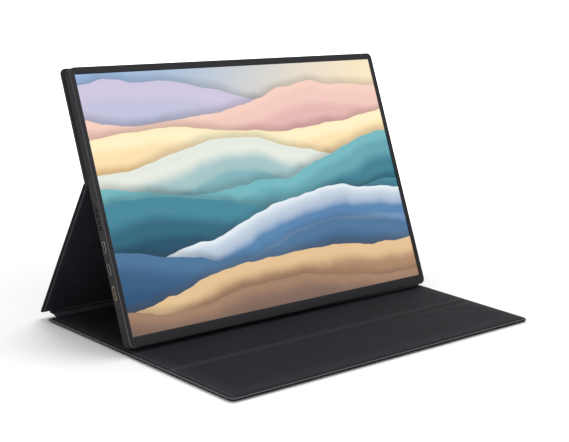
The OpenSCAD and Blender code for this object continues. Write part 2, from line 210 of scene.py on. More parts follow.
display = Axes("lcd_cell", FRONT)
leg = Axes("leg_skin", FRONT)
base = Axes("base_skin", UP)
joints = {joint["name"]: joint for joint in frame["joints"]}
lower_axis = Vector(joints["lower_fold_hinge"]["pos_m"])
upper_axis = Vector(joints["upper_fold_hinge"]["pos_m"])
flap_axis = Vector(joints["flap_hinge"]["pos_m"])
# The flap turns at the level of the base's rim, and all panels are as thick there.
rim_t = flap_axis.z


# ---- Mesh helpers ----

def added(name, data):
    """A new object in the scene, with the given mesh, lamp or camera."""
    made = bpy.data.objects.new(name, data)
    bpy.context.scene.collection.objects.link(made)
    return made


def smoothed(mesh, angle):
    """Shades the mesh smooth where its faces meet under the angle."""
    mesh.shade_smooth()
    mesh.set_sharp_from_angle(angle=math.radians(angle))


def rounded_loop(x0, x1, u0, u1, radius, steps=CORNER_STEPS):
    """Points of a rounded rectangle, anticlockwise from its lower right corner."""
    corners = [(x1 - radius, u0 + radius, -90), (x1 - radius, u1 - radius, 0),
               (x0 + radius, u1 - radius, 90), (x0 + radius, u0 + radius, 180)]
    points = []
    for cx, cu, start in corners:
        for k in range(steps + 1):
            angle = math.radians(start + 90 * k / steps)
            points.append((cx + radius * math.cos(angle), cu + radius * math.sin(angle)))
    return points


def loft(name, loops, closed=False, caps=False, smooth_angle=SMOOTH_ANGLE):
    """Joins loops of equally many points: closed the last to the first too, caps with end faces."""
    size = len(loops[0])
    vertices = [point for loop in loops for point in loop]
    faces = []
    for k in range(len(loops) if closed else len(loops) - 1):
        a, b = k * size, (k + 1) % len(loops) * size
        faces += [(a + i, a + (i + 1) % size, b + (i + 1) % size, b + i) for i in range(size)]
    if caps:
        faces += [range(size), range(len(vertices) - size, len(vertices))]
    mesh = bpy.data.meshes.new(name)
    mesh.from_pydata(vertices, [], faces)
    bm = bmesh.new()
    bm.from_mesh(mesh)
    bmesh.ops.remove_doubles(bm, verts=bm.verts, dist=SAME_PLACE)
    bmesh.ops.recalc_face_normals(bm, faces=bm.faces)
    bm.to_mesh(mesh)
    bm.free()
    smoothed(mesh, smooth_angle)
    return added(name, mesh)


def joined(name, parts):
    """One object from several, in place of them."""
    bm = bmesh.new()
    for part in parts:
        bm.from_mesh(part.data)
    mesh = bpy.data.meshes.new(name)
    bm.to_mesh(mesh)
    bm.free()
    for part in parts:
        bpy.data.objects.remove(part)
    smoothed(mesh, SMOOTH_ANGLE)
    return added(name, mesh)


def cut(target, cutters):
    """Cuts closed cutters out of the target's mesh."""
    cutter = joined("cutter", cutters)
    modifier = target.modifiers.new("cut", "BOOLEAN")
    modifier.operation = "DIFFERENCE"
    modifier.solver = "EXACT"
    modifier.object = cutter
    graph = bpy.context.evaluated_depsgraph_get()
    mesh = bpy.data.meshes.new_from_object(target.evaluated_get(graph))
    target.modifiers.clear()
    target.data = mesh
    bpy.data.objects.remove(cutter)
    smoothed(mesh, CRISP_ANGLE)


# ---- Cover builder ----

def smooth(t):
    """0 below 0, 1 above 1 and smooth between."""
    t = max(0.0, min(1.0, t))
    return t * t * (3 - 2 * t)


def graded(length):
    """Distances from an edge: close together at it, FINE_STEP apart further in, up to length."""
    places, step = [0.0], FINE_FIRST
    while places[-1] + step < length:
        places.append(places[-1] + step)
        step = min(step * FINE_GROWTH, FINE_STEP)
    return places


def grid_lines(low, high, fine_zones=(), fine_ends=(True, True)):
    """Grid places from low to high: fine at the ends and inside the zones, coarse elsewhere."""
    places = {low, high}
    for end, sign, fine in ((low, 1, fine_ends[0]), (high, -1, fine_ends[1])):
        if fine:
            places |= {end + sign * d for d in graded(min(FINE_REACH, (high - low) / 2))}
    for start, stop in fine_zones:
        count = max(1, math.ceil((stop - start) / FINE_STEP))
        places |= {start + (stop - start) * k / count for k in range(count + 1)}
    ordered = sorted(places)
    lines = [ordered[0]]
    for here in ordered[1:]:
        gap = here - lines[-1]
        if gap < FINE_FIRST / 3 and here != high:
            continue
        count = math.ceil(gap / COARSE_STEP)
        lines += [here - gap + gap * k / count for k in range(1, count)] + [here]
    return lines


def to_outline(x, u, half, low, high, r_low, r_high):
    """A grid point moved into the rounded outline, and its distance from the edge."""
    radius, end, sign = (r_low, low, 1) if u - low < high - u else (r_high, high, -1)
    in_x, in_u = half - abs(x), sign * (u - end)
    if in_x >= radius or in_u >= radius:
        return x, u, min(in_x, in_u)
    away_x, away_u = radius - in_x, radius - in_u
    reach, span = max(away_x, away_u), math.hypot(away_x, away_u)
    return (math.copysign(half - radius + away_x / span * reach, x),
            end + sign * (radius - away_u / span * reach), radius - reach)


def inside_field(x, u, field):
    """Distance in from a rounded field's outline, negative outside it."""
    half, low, high = field
    past_x = abs(x) - half + FIELD_R
    past_u = abs(u - (low + high) / 2) - (high - low) / 2 + FIELD_R
    return FIELD_R - math.hypot(max(past_x, 0), max(past_u, 0)) - min(max(past_x, past_u), 0)


def shell(name, half, low, high, radii, inner, outer, place, fine_zones=(), fine_ends=(True, True)):
    """A closed panel: two grids joined by a wall round their edge. inner and outer give their
    heights from x, u and the distance from the edge, and place puts (x, u, height) in the frame.
    The materials get (x, u) as a UV map, and the distances in mm from edge and nearer side."""
    xs = grid_lines(-half, half)
    us = grid_lines(low, high, fine_zones, fine_ends)
    columns, rows = len(xs), len(us)
    points, plan, edges, sides, faces = [], [], [], [], []
    for height in (inner, outer):
        for u in us:
            for x in xs:
                px, pu, edge = to_outline(x, u, half, low, high, *radii)
                points.append(place(px, pu, height(px, pu, edge)))
                plan.append((px, pu))
                edges.append(edge / MM)
                sides.append((half - abs(px)) / MM)
    behind = rows * columns
    for j in range(rows - 1):
        for i in range(columns - 1):
            first = j * columns + i
            quad = [first, first + 1, first + 1 + columns, first + columns]
            faces += [quad, [behind + k for k in reversed(quad)]]
    last = behind - 1
    ring = [*range(columns - 1), *range(columns - 1, last, columns),
            *range(last, last - columns + 1, -1), *range(last - columns + 1, 0, -columns)]
    for here, after in zip(ring, ring[1:] + ring[:1]):
        faces.append([after, here, behind + here, behind + after])
    mesh = bpy.data.meshes.new(name)
    mesh.from_pydata(points, [], faces)
    uv = mesh.uv_layers.new(name="plan")
    for loop in mesh.loops:
        uv.data[loop.index].uv = plan[loop.vertex_index]
    for attribute, values in (("edge_mm", edges), ("side_mm", sides)):
        mesh.attributes.new(attribute, "FLOAT", "POINT").data.foreach_set("value", values)
    mesh.shade_smooth()
    return added(name, mesh)


def fallen(edge, width, depth):
    """How far a rounded edge has dropped: depth at the edge itself, and 0 from width inwards."""
    t = 1 - min(edge / width, 1)
    return depth * (1 - math.sqrt(1 - t * t))


def panel_faces(outer_face, rim_top, field_top, fields, footing=0.0):
    """Height functions of a panel: its boards' raised fields inside, its flat skin outside."""
    def inner(x, u, edge):
        raised = max(inside_field(x, u, field) for field in fields)
        lift = smooth(raised / RAMP + 0.5)
        where = Vector((x * RIPPLES_PER_METRE, u * RIPPLES_PER_METRE, outer_face * RIPPLE_SHIFT))
        ripple = RIPPLE * noise.noise(where)
        return rim_top - fallen(edge, SHOULDER_W, SHOULDER_H) + (field_top - rim_top + ripple) * lift

    def outer(x, u, edge):
        return outer_face + footing + fallen(edge, LOWER_ROUND, LOWER_ROUND)

    return inner, outer


def base_cover():
    """The base and the front flap in one piece, with two grooves."""
    low, high = base.box("base_skin", "flap_skin")
    _, lining = base.box("base_lining")
    half, front, back = high[0], low[1], high[1]
    fold, groove = flap_axis.y, front + GROOVE_FROM_FRONT
    fields = [(half - RIM_W, front + RIM_W, fold - GROOVE_W / 2),
              (half - RIM_W, fold + GROOVE_W / 2, groove - GROOVE_W / 2),
              (half - RIM_W, groove + GROOVE_W / 2, back - RIM_W)]
    inner, outer = panel_faces(0, rim_t, lining[2], fields, FOOTING)
    margin = GROOVE_W / 2 + FINE_MARGIN
    zones = [(line - margin, line + margin) for line in (fold, groove)]
    made = shell("base_cover", half, front, back, (FRONT_CORNER_R, REAR_CORNER_R), inner, outer,
                 base.place, zones)
    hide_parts("base_skin", "base_lining", "flap_skin", "flap_lining")
    dress(made, base_lining, leather_material, lambda face: face.normal.z < -SIDEWAYS)
    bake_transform(made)


def stiff_cover(panel, body, axes, far_rim, far_corner, lining_material, leather_below):
    """The leg, or the panel on the monitor's back. Faces whose normals lie along its inner side's
    less than leather_below are leather."""
    low, high = axes.box(panel + "_skin")
    _, lining = axes.box(panel + "_lining")
    fields = [(high[0] - RIM_W, low[1] + FOLD_RIM_W, high[1] - far_rim)]
    inner, outer = panel_faces(low[2], low[2] + rim_t, lining[2], fields)
    made = shell(panel + "_cover", high[0], low[1], high[1], (REAR_CORNER_R, far_corner),
                 inner, outer, axes.place)
    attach(made, body)
    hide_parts(panel + "_skin", panel + "_lining")
    dress(made, lining_material, leather_material, lambda face: face.normal.dot(axes.out) < leather_below)


def fold_path(stops, radius, steps=10):
    """A fold's section: straight stretches between the stops, joined by arcs at the inner ones."""
    path = [stops[0]]
    for first, corner, last in zip(stops, stops[1:], stops[2:]):
        toward, away = (first - corner).normalized(), (last - corner).normalized()
        opening = toward.angle(away)
        tangent = radius / math.tan(opening / 2)
        centre = corner + (toward + away).normalized() * radius / math.sin(opening / 2)
        spoke = toward * tangent + corner - centre
        axis = spoke.cross(away * tangent + corner - centre).normalized()
        path += [centre + Matrix.Rotation((math.pi - opening) * k / steps, 3, axis) @ spoke
                 for k in range(steps + 1)]
    return path + [stops[-1]]


def along_path(path):
    """A place function along a path, with height measured to its left, and the path's length."""
    spans = [(b - a).length for a, b in zip(path, path[1:])]
    starts = [sum(spans[:k]) for k in range(len(path))]

    def place(x, u, height):
        k = sum(start <= u for start in starts[1:-1])
        share = (u - starts[k]) / spans[k]
        normal = normal_at(path, k).lerp(normal_at(path, k + 1), share).normalized()
        return Vector((x, 0, 0)) + path[k].lerp(path[k + 1], share) + normal * height

    return place, starts[-1]


def normal_at(path, k):
    """The path's normal at a point, turned a quarter from its direction."""
    before, after = path[max(k - 1, 0)], path[min(k + 1, len(path) - 1)]
    along = (after - before).normalized()
    return Vector((0, -along.z, along.y))


def fold_piece(name, half, path, outside):
    """A strip of the cover along a path, with its outer face this far outside it. It turns from
    across before the axis to as far behind it."""
    place, length = along_path(path)
    made = shell(name, half, 0, length, (WEB_ROUND, WEB_ROUND),
                 lambda x, u, edge: WEB_HALF - fallen(edge, WEB_ROUND, WEB_ROUND),
                 lambda x, u, edge: fallen(edge, WEB_ROUND, WEB_ROUND) - outside,
                 place, [(0, length)], (False, False))
    dress(made, fold_lining_lit, leather_material, lambda face: face.normal.dot(leg.out) < -SIDEWAYS)
    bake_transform(made)
    return made


def upper_fold():
    """The fold between the leg and the panel on the monitor's back."""
    half = leg.box("leg_skin")[1][0] - FOLD_INSET
    stops = [upper_axis - leg.up * UPPER_FOLD_REACH, upper_axis,
             upper_axis + display.up * UPPER_FOLD_REACH]
    made = fold_piece("upper_fold_web", half, fold_path(stops, UPPER_FOLD_R), UPPER_WEB_OUTSIDE)
    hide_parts("upper_fold")


def lower_fold():
    """The spine: from the base's rear edge up to the fold at the leg's foot, and into the leg."""
    low, high = base.box("spine_strip")
    inside_leg = lower_axis - leg.out * SPINE_IN_LEG
    lead = (SPINE_LEVEL[-1][1] * MM - inside_leg.z) / leg.up.z
    stops = [Vector((0, low[1] + y * MM, z * MM)) for y, z in SPINE_LEVEL]
    stops += [inside_leg + leg.up * lead, inside_leg + leg.up * LOWER_FOLD_REACH]
    path = fold_path(stops, LOWER_FOLD_R, steps=6)
    made = fold_piece("spine_web", high[0], path, WEB_HALF)
    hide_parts("spine_strip", "spine_stiffener", "lower_fold")


# ---- Materials ----

def linear(red, green, blue):
    """Linear colour from 0-255 sRGB."""
    def channel(c):
        c /= 255
        return c / 12.92 if c <= 0.04045 else ((c + 0.055) / 1.055) ** 2.4
    return (channel(red), channel(green), channel(blue), 1)


class Nodes:
    """A node tree, and short ways to add nodes to it."""

    def __init__(self, owner):
        owner.use_nodes = True
        self.nodes, self.links = owner.node_tree.nodes, owner.node_tree.links

    def put(self, socket, value):
        """Links a value that is a node's output, and sets any other."""
        if isinstance(value, bpy.types.NodeSocket):
            self.links.new(value, socket)
        else:
            socket.default_value = value

    def add(self, kind, inputs=(), output=0, **settings):
        """Adds a node with its inputs and settings, and gives one of its outputs."""
        node = self.nodes.new(kind)
        for key, value in settings.items():
            setattr(node, key, value)
        for key, value in dict(inputs).items():
            self.put(node.inputs[key], value)
        return node.outputs[output]

    def math(self, operation, *values, clamp=False):
        return self.add("ShaderNodeMath", enumerate(values), operation=operation, use_clamp=clamp)

    def times(self, first, second):
        return self.math("MULTIPLY", first, second)

    def mix(self, factor, first, second, blend="MIX"):
        """The first colour, and as the factor goes to 1 the second one."""
        return self.add("ShaderNodeMix", {0: factor, 6: first, 7: second}, 2, data_type="RGBA",
                        blend_type=blend)

    def step(self, value, low, high):
        """0 below low, 1 above high and smooth between; low may be above high."""
        return self.add("ShaderNodeMapRange", {0: value, 1: low, 2: high, 3: 0.0, 4: 1.0},
                        interpolation_type="SMOOTHSTEP")

    def between(self, share, low, high):
        """From low to high as the share goes from 0 to 1."""
        return self.add("ShaderNodeMapRange", {0: share, 3: low, 4: high})

    def band(self, value, middle, outside, inside):
        """1 near the middle, 0 from the distance outside on and smooth between."""
        return self.step(self.math("ABSOLUTE", self.math("SUBTRACT", value, middle)), outside, inside)

    def attribute(self, name):
        return self.add("ShaderNodeAttribute", output="Fac", attribute_name=name)

    def split(self, vector):
        """The vector's x, y and z."""
        node = self.nodes.new("ShaderNodeSeparateXYZ")
        self.links.new(vector, node.inputs[0])
        return node.outputs

    def place(self, uv=None):
        """Coordinates in metres: of the named UV map, or of the object."""
        if uv:
            return self.add("ShaderNodeUVMap", uv_map=uv)
        return self.add("ShaderNodeTexCoord", output="Object")

    def scaled(self, vector, x, y, z):
        return self.add("ShaderNodeMapping", {"Vector": vector, "Scale": (x, y, z)})

    def noise(self, vector, size, detail=3.0, rough=0.5):
        """Noise of the given feature size in metres."""
        return self.add("ShaderNodeTexNoise",
                        {"Vector": vector, "Scale": 1 / size, "Detail": detail, "Roughness": rough})

    def cells(self, vector, size):
        """Distance from the edges of cells of the given size in metres, in sizes of a cell."""
        return self.add("ShaderNodeTexVoronoi", {"Vector": vector, "Scale": 1 / size},
                        feature="DISTANCE_TO_EDGE")

    def bump(self, height, strength, depth):
        return self.add("ShaderNodeBump", {"Height": height, "Strength": strength, "Distance": depth})

    def vary(self, colour, spread, vector, size):
        """The colour, a little lighter and darker from place to place."""
        dark = tuple(c * (1 - spread) for c in colour[:3]) + (1,)
        light = tuple(c * (1 + spread) for c in colour[:3]) + (1,)
        amount = self.step(self.noise(vector, size, 4), 0.3, 0.7)
        return self.mix(amount, dark, light)


class Shader(Nodes):
    """A material with a Principled surface, and the nodes behind it."""

    def __init__(self, name, roughness=0.5, specular=0.5, metallic=0.0):
        self.material = bpy.data.materials.new(name)
        super().__init__(self.material)
        self.set("Roughness", roughness)
        self.set("Specular IOR Level", specular)
        self.set("Metallic", metallic)

    def set(self, name, value):
        self.put(self.nodes["Principled BSDF"].inputs[name], value)


def rim_colour(shader, colour, lines, side):
    """The colour, with painted highlight lines near the cover's edge and the side colour on the edge
    itself. A line is an attribute, the distances in mm at which it starts, is full, fades and
    stops, and its share of the painted highlight colour."""
    for attribute, start, full, fading, stop, strength in lines:
        distance = shader.attribute(attribute)
        highlight = shader.times(shader.step(distance, start, full), shader.step(distance, stop, fading))
        colour = shader.mix(shader.times(highlight, strength), colour, PAINTED_HIGHLIGHT)
    return shader.mix(shader.step(shader.attribute("edge_mm"), *SIDE_STARTS), colour, side)


def painted_crease_light(shader, colour):
    """The colour, with painted shade in the front flap's groove and painted highlights beside it."""
    along, across, _ = shader.split(shader.place("plan"))
    to_right = shader.step(along, *CREASE_RISE)
    for place, outside, inside, tone, strength, on_right in CREASE_LIGHT_AND_SHADE:
        share = shader.times(to_right, strength) if on_right else strength
        mark = shader.times(shader.band(across, place, outside, inside), share)
        colour = shader.mix(mark, colour, tone)
    return colour


def pale_side_line(shader, colour):
    """The colour, with a pale line part way up the panel's sides, towards the rear."""
    _, y, z = shader.split(shader.place())
    level = shader.band(z, PALE_LINE_LEVEL, *PALE_LINE_WIDTH)
    rear = shader.step(y, *PALE_LINE_RISE)
    side = shader.times(rear, shader.step(shader.attribute("side_mm"), *PALE_LINE_SIDE))
    return shader.mix(shader.times(side, level), colour, PALE_LINE_COLOUR)


# A lighter colour mixed in as painted highlights along the cover's edges and beside the flap's groove.
PAINTED_HIGHLIGHT = linear(100, 100, 103)
# The lining's dark side colour is partly the edge's own dark and partly painted shade; in the flap's
# groove it is painted shade.
DARK_EDGE_AND_SHADE = linear(15, 15, 17)
# A lighter colour for the sides of the leather and of the upper panel's lining: painted light on sides
# that lie in shade.
EDGE_PAINTED_LIGHT = linear(58, 58, 62)
PALE_LINE_COLOUR = linear(125, 125, 127)
# Where a colour step is 0 and where it is 1: distances from the panel's edge or side, in mm.
SIDE_STARTS = (0.12, 0.02)
PALE_LINE_SIDE = (0.05, 0.01)
# The same for x, for y and for the distance from the pale line's middle, in metres.
CREASE_RISE = (0.04, 0.14)
PALE_LINE_RISE = (0.0, 0.03)
PALE_LINE_WIDTH = (0.4 * MM, 0.15 * MM)
PALE_LINE_LEVEL = 1.4 * MM
# Painted shade in the flap's groove and a painted highlight on each side of it: place, distances
# from it at which a mark is gone and full, colour, strength, and whether it is only on the right.
CREASE_LIGHT_AND_SHADE = [
    (flap_axis.y, 4.4 * MM, 2.4 * MM, DARK_EDGE_AND_SHADE, 0.4, True),
    (flap_axis.y + GROOVE_W / 2 + 2.4 * MM, 4.5 * MM, 0.5 * MM, PAINTED_HIGHLIGHT, 0.09, False),
    (flap_axis.y - GROOVE_W / 2, 2.6 * MM, 0.3 * MM, PAINTED_HIGHLIGHT, 0.09, True),
]


def make_leather():
    """The cover's outside: leather with a fine pebbled grain and pores."""
    shader = Shader("cover_leather_grain", specular=0.2)
    plan = shader.place("plan")
    base_colour = shader.vary(linear(42, 41, 47), 0.16, plan, 14 * MM)
    # Its sides take the lighter edge colour: painted light.
    shader.set("Base Color", rim_colour(shader, base_colour, (), EDGE_PAINTED_LIGHT))
    warp = shader.noise(plan, 1.6 * MM, 2)
    offset = shader.scaled(warp, 0.3 * MM, 0.3 * MM, 0.3 * MM)
    warped = shader.add("ShaderNodeVectorMath", {0: plan, 1: offset}, operation="ADD")
    pebbles = shader.step(shader.cells(warped, 0.85 * MM), 0.0, 0.14)
    pores = shader.noise(plan, 0.25 * MM, 2)
    height = shader.math("ADD", pebbles, shader.times(pores, 0.35))
    shader.set("Roughness", shader.between(shader.noise(plan, 9 * MM, 3), 0.55, 0.7))
    shader.set("Normal", shader.bump(height, 0.5, 0.05 * MM))
    return shader.material


def make_lining(name, lines=(), tone=linear(26, 25, 31), side=DARK_EDGE_AND_SHADE, painted_creases=False):
    """The cover's inside: a soft, matt fabric. Its lines are painted highlights, and the crease switch
    adds painted shade and highlights along the flap's groove.
    """
    shader = Shader(name, specular=0.12)
    plan = shader.place("plan")
    colour = shader.vary(tone, 0.1, plan, 22 * MM)
    if painted_creases:
        colour = painted_crease_light(shader, colour)
    colour = rim_colour(shader, colour, lines, side)
    if painted_creases:
        colour = pale_side_line(shader, colour)
    shader.set("Base Color", colour)
    shader.set("Roughness", shader.between(shader.noise(plan, 6 * MM, 3), 0.74, 0.86))
    nap = shader.noise(plan, 0.3 * MM, 3)
    shader.set("Normal", shader.bump(nap, 0.35, 0.04 * MM))
    return shader.material


leather_material = make_leather()
# These lines mix in the painted highlight colour: painted highlights along the rim, over the boards'
# edges, in a broad band near the edge, and along the leg's side.
RIM_LINE = ("edge_mm", 0.04, 0.25, 0.6, 1.5, 0.9)
BOARD_LINE = ("side_mm", 3.0, 4.2, 5.0, 7.0, 0.12)
BROAD_BAND = ("edge_mm", 1.5, 5.0, 9.0, 20.0, 0.05)
LEG_LINE = ("side_mm", 1.3, 1.8, 2.4, 3.2, 0.38)
base_lining = make_lining("cover_lining_base", (BROAD_BAND, BOARD_LINE, RIM_LINE), painted_creases=True)
# The leg's lining is a little lighter than the base's, the upper panel's and the folds' much lighter: the
# same fabric with painted light where it lies in shade.
leg_lining = make_lining("cover_lining_leg", (LEG_LINE,), tone=linear(30, 29, 35))
upper_lining_lit = make_lining("cover_lining_upper_painted_light", tone=linear(54, 53, 57), side=EDGE_PAINTED_LIGHT)
fold_lining_lit = make_lining("cover_lining_fold_painted_light", tone=linear(60, 59, 65))


def dress(piece, material, other=None, is_other=None):
    """Gives a piece its material, and the faces that is_other picks another one."""
    mesh = piece.data
    mesh.materials.clear()
    mesh.materials.append(material)
    if other:
        mesh.materials.append(other)
        for face in mesh.polygons:
            face.material_index = int(is_other(face))


def moulded(name, colour, roughness=0.6, specular=0.4, lit_top=None):
    """Textured plastic, paint or anodising, which turns into a lighter colour towards the top when one is
    given: painted light.
    """
    shader = Shader(name, specular=specular)
    where = shader.place()
    if lit_top:
        level = shader.step(shader.split(where)[2], *LIT_TOP_RISE)
        shader.set("Base Color", shader.mix(level, linear(*colour), linear(*lit_top)))
    else:
        shader.set("Base Color", shader.vary(linear(*colour), 0.08, where, 18 * MM))
    cloud = shader.noise(where, 5 * MM)
    shader.set("Roughness", shader.between(cloud, roughness - 0.06, roughness + 0.06))
    shader.set("Normal", shader.bump(shader.noise(where, 0.18 * MM, 2), 0.4, 0.03 * MM))
    return shader.material


def metal(name, colour, roughness=0.3):
    """Bare metal with fine draw marks."""
    shader = Shader(name, metallic=1.0)
    where = shader.scaled(shader.place(), 1, 1, 12)
    marks = shader.noise(where, 1.2 * MM, 4)
    shader.set("Base Color", shader.vary(linear(*colour), 0.1, where, 3 * MM))
    shader.set("Roughness", shader.between(marks, roughness - 0.08, roughness + 0.1))
    shader.set("Normal", shader.bump(marks, 0.15, 0.02 * MM))
    return shader.material


def circuit(name):
    """Solder mask with the faint relief of the tracks under it."""
    shader = Shader(name, roughness=0.35)
    where = shader.place()
    tracks = shader.step(shader.cells(where, 2.4 * MM), 0.1, 0.04)
    shader.set("Base Color", shader.mix(tracks, linear(18, 66, 42), linear(38, 104, 66)))
    shader.set("Normal", shader.bump(tracks, 0.3, 0.03 * MM))
    return shader.material


def board(name):
    """Grey-brown cover board with its pressed fibres."""
    shader = Shader(name, roughness=0.9, specular=0.2)
    where = shader.place()
    fibres = shader.noise(shader.scaled(where, 1, 4, 4), 1.5 * MM, 5, 0.7)
    shader.set("Base Color", shader.mix(fibres, linear(150, 137, 112), linear(186, 174, 150)))
    shader.set("Normal", shader.bump(fibres, 0.4, 0.1 * MM))
    return shader.material


# Heights between which a material turns into its lighter top colour, painted light.
LIT_TOP_RISE = (0.01, 0.2)
# Each slot's kind of material, its name and what that kind's function takes after the name.
SLOT_MATERIALS = {
    # The frame grows lighter towards its top: painted light.
    "frame_plastic": (moulded, "frame_black", (34, 34, 37), 0.6, 0.15, (47, 46, 50)),
    "housing_metal": (moulded, "housing_anodised", (36, 36, 38), 0.55, 0.1),
    "black_tape": (moulded, "tape_black", (30, 30, 31), 0.8),
    "optical_film": (moulded, "film_white", (236, 238, 238), 0.3),
    "guide_acrylic": (moulded, "acrylic_clear", (222, 236, 240), 0.15),
    "led_strip": (moulded, "led_strip_cream", (240, 236, 205), 0.4),
    "tray_metal": (metal, "tray_aluminium", (190, 190, 192)),
    "circuit_board": (circuit, "solder_mask"),
    "chip_plastic": (moulded, "chip_black", (34, 34, 36), 0.55),
    "ribbon_film": (moulded, "ribbon_amber", (206, 150, 70), 0.3),
    "shield_tin": (metal, "shield_tin_bright", (205, 205, 208)),
    "screw_steel": (metal, "screw_zinc", (200, 200, 203), 0.25),
    "socket_steel": (metal, "socket_nickel", (156, 155, 152)),
    "socket_gold": (metal, "socket_gold_plate", (205, 187, 162), 0.35),
    # The tongues' grey is lighter than their own black and stands in for glints inside the sockets:
    # painted highlight.
    "tongue_plastic": (moulded, "tongue_grey", (134, 132, 128), 0.5),
    "key_plastic": (moulded, "key_charcoal", (50, 50, 53), 0.5, 0.15),
    # Near-black for the walls of the key and light holes and the keys' stems: painted shade.
    "key_well": (moulded, "key_well_black", (12, 12, 13), 0.8, 0.05),
    "light_plastic": (moulded, "light_smoked", (9, 10, 11), 0.4, 0.05),
    "speaker_plastic": (moulded, "speaker_black", (30, 30, 31), 0.6),
    "magnet_nickel": (metal, "magnet_nickel_plate", (200, 198, 192), 0.2),
    "cover_board": (board, "cover_board_fibre"),
}
made_materials = {}


def slot_material(slot):
    """The slot's material, made when it is first asked for."""
    if slot not in made_materials:
        kind, name, *look = SLOT_MATERIALS[slot]
        made_materials[slot] = kind(name, *look)
    return made_materials[slot]


def dress_frame():
    """Every CAD node that stays gets its slot's material."""
    for part in frame["record"]["subparts"]:
        if part["material_slot"] in SLOT_MATERIALS:
            dress(frame["nodes"][part["node"]], slot_material(part["material_slot"]))


# ---- Screen picture: layered silk waves ----

# In shares of the picture's height: how far the crests drift, how far up a layer's shadow
# reaches, and half the softness of a crest.
DRIFT, SHADOW_REACH, CREST_BLUR = 0.05, 0.045, 0.0012
SHADOW_STRENGTH, SHADOW_TONE = 0.35, 0.45
# The folds below a crest: how close, how far each layer's are shifted, and how strong.
FOLD_COUNT, FOLD_SHIFT, FOLD_STRENGTH = 150, 9, 0.10
# Each layer: height at the left edge, rise to the right, wave height, wave count, phase,
# colour along its crest, colour below it and how far down it changes.
LAYERS = [
    (0.93, -0.10, 0.05, 0.80, 0.10, (206, 196, 222), (176, 186, 214), 0.22),
    (0.84, 0.02, 0.06, 0.90, 0.55, (246, 206, 190), (222, 170, 170), 0.20),
    (0.70, 0.10, 0.055, 0.75, 0.20, (255, 240, 196), (250, 204, 142), 0.18),
    (0.66, -0.04, 0.06, 1.05, 0.80, (236, 238, 226), (126, 176, 184), 0.17),
    (0.50, 0.12, 0.06, 0.85, 0.35, (112, 180, 188), (34, 110, 132), 0.20),
    (0.47, -0.06, 0.05, 1.20, 0.05, (66, 136, 156), (20, 76, 102), 0.20),
    (0.30, 0.14, 0.05, 0.95, 0.62, (226, 234, 242), (82, 128, 172), 0.11),
    (0.27, -0.02, 0.045, 1.30, 0.30, (70, 112, 150), (34, 78, 116), 0.15),
    (0.12, 0.10, 0.04, 0.90, 0.85, (232, 196, 148), (164, 124, 94), 0.12),
    (0.10, -0.04, 0.03, 1.40, 0.50, (158, 122, 98), (104, 84, 76), 0.12),
]


def picture_material():
    """The lit screen. u and v run from 0 to 1 across and up the picture."""
    shader = Shader("screen_picture", roughness=0.4, specular=0.2)
    uv = shader.place("picture")
    u, v, _ = shader.split(uv)
    stretched = shader.scaled(uv, 1.6, 1, 1)
    drift = shader.math("MULTIPLY_ADD", shader.noise(stretched, 0.35, 3), 2 * DRIFT, -DRIFT)
    glow = shader.step(shader.math("ADD", u, shader.times(v, -0.4)), -0.4, 0.8)
    colour = shader.mix(glow, linear(150, 182, 220), linear(255, 232, 190))
    for level, rise, height, waves, phase, crest, body, depth in LAYERS:
        angle = shader.math("MULTIPLY_ADD", u, waves * 2 * math.pi, phase * 2 * math.pi)
        swell = shader.math("MULTIPLY_ADD", shader.math("SINE", angle), height, drift)
        top = shader.math("ADD", shader.math("MULTIPLY_ADD", u, rise, level), swell)
        below = shader.math("SUBTRACT", top, v)
        shade = shader.times(shader.step(below, -SHADOW_REACH, 0.0), SHADOW_STRENGTH)
        colour = shader.mix(shade, colour, linear(*[c * SHADOW_TONE for c in body]))
        fold_at = shader.math("MULTIPLY_ADD", below, FOLD_COUNT / (1 + waves), phase * FOLD_SHIFT)
        fade = shader.step(below, 0.0, depth)
        silk = shader.math("MULTIPLY_ADD", shader.math("SINE", fold_at), FOLD_STRENGTH, fade, clamp=True)
        sheet = shader.mix(silk, linear(*crest), linear(*body))
        colour = shader.mix(shader.step(below, -CREST_BLUR, CREST_BLUR), colour, sheet)
    threads = shader.noise(shader.scaled(uv, 60, 400, 1), 1.0, 3, 0.6)
    colour = shader.mix(shader.math("MULTIPLY_ADD", threads, 0.5, -0.1, clamp=True), colour,
                        shader.mix(0.35, colour, linear(255, 255, 255), "SOFT_LIGHT"))
    shader.set("Base Color", linear(12, 12, 13))
    shader.set("Emission Color", colour)
    shader.set("Emission Strength", 1.0)
    return shader.material


# ---- Display pieces ----

def window():
    """The front frame's opening: its lower and upper corner as (x, up)."""
    low, high = display.box("front_frame")
    points = [(abs(v.co.x), v.co.dot(display.up)) for v in frame["nodes"]["front_frame"].data.vertices]
    beyond_corners = [(x, up) for x, up in points if low[1] + CORNER_R < up < high[1] - CORNER_R]
    half = min(x for x, up in beyond_corners)
    ups = [up for x, up in beyond_corners if x < half + HAIR]
    return (-half, min(ups)), (half, max(ups))


def inset_loop(box, inset, out, radius):
    """A rounded rectangle this far inside a box, whose own corners have the radius."""
    (x0, u0, *_), (x1, u1, *_) = box
    loop = rounded_loop(x0 + inset, x1 - inset, u0 + inset, u1 - inset, max(radius - inset, LEAST_R))
    return [display.place(x, u, out) for x, u in loop]


def round_edge_loop(box, face, inwards, angle, radius, low_radius):
    """A loop round the display's front or rear edge, at an angle of its rounding: 0 on the face,
    90 degrees on the side. The edge at the foot has its own radius."""
    (x0, u0, *_), (x1, u1, *_) = box
    rounding = math.radians(angle)
    points = []
    for k, (x, u) in enumerate(rounded_loop(x0, x1, u0, u1, CORNER_R)):
        corner, share = divmod(k, CORNER_STEPS + 1)
        direction = math.radians(-90 + 90 * corner + 90 * share / CORNER_STEPS)
        along_x, along_u = math.cos(direction), math.sin(direction)
        r = radius + (low_radius - radius) * max(0, -along_u) ** 2
        inset = r * (1 - math.sin(rounding))
        points.append(display.place(x - along_x * inset, u - along_u * inset,
                                    face + inwards * r * (1 - math.cos(rounding))))
    return points


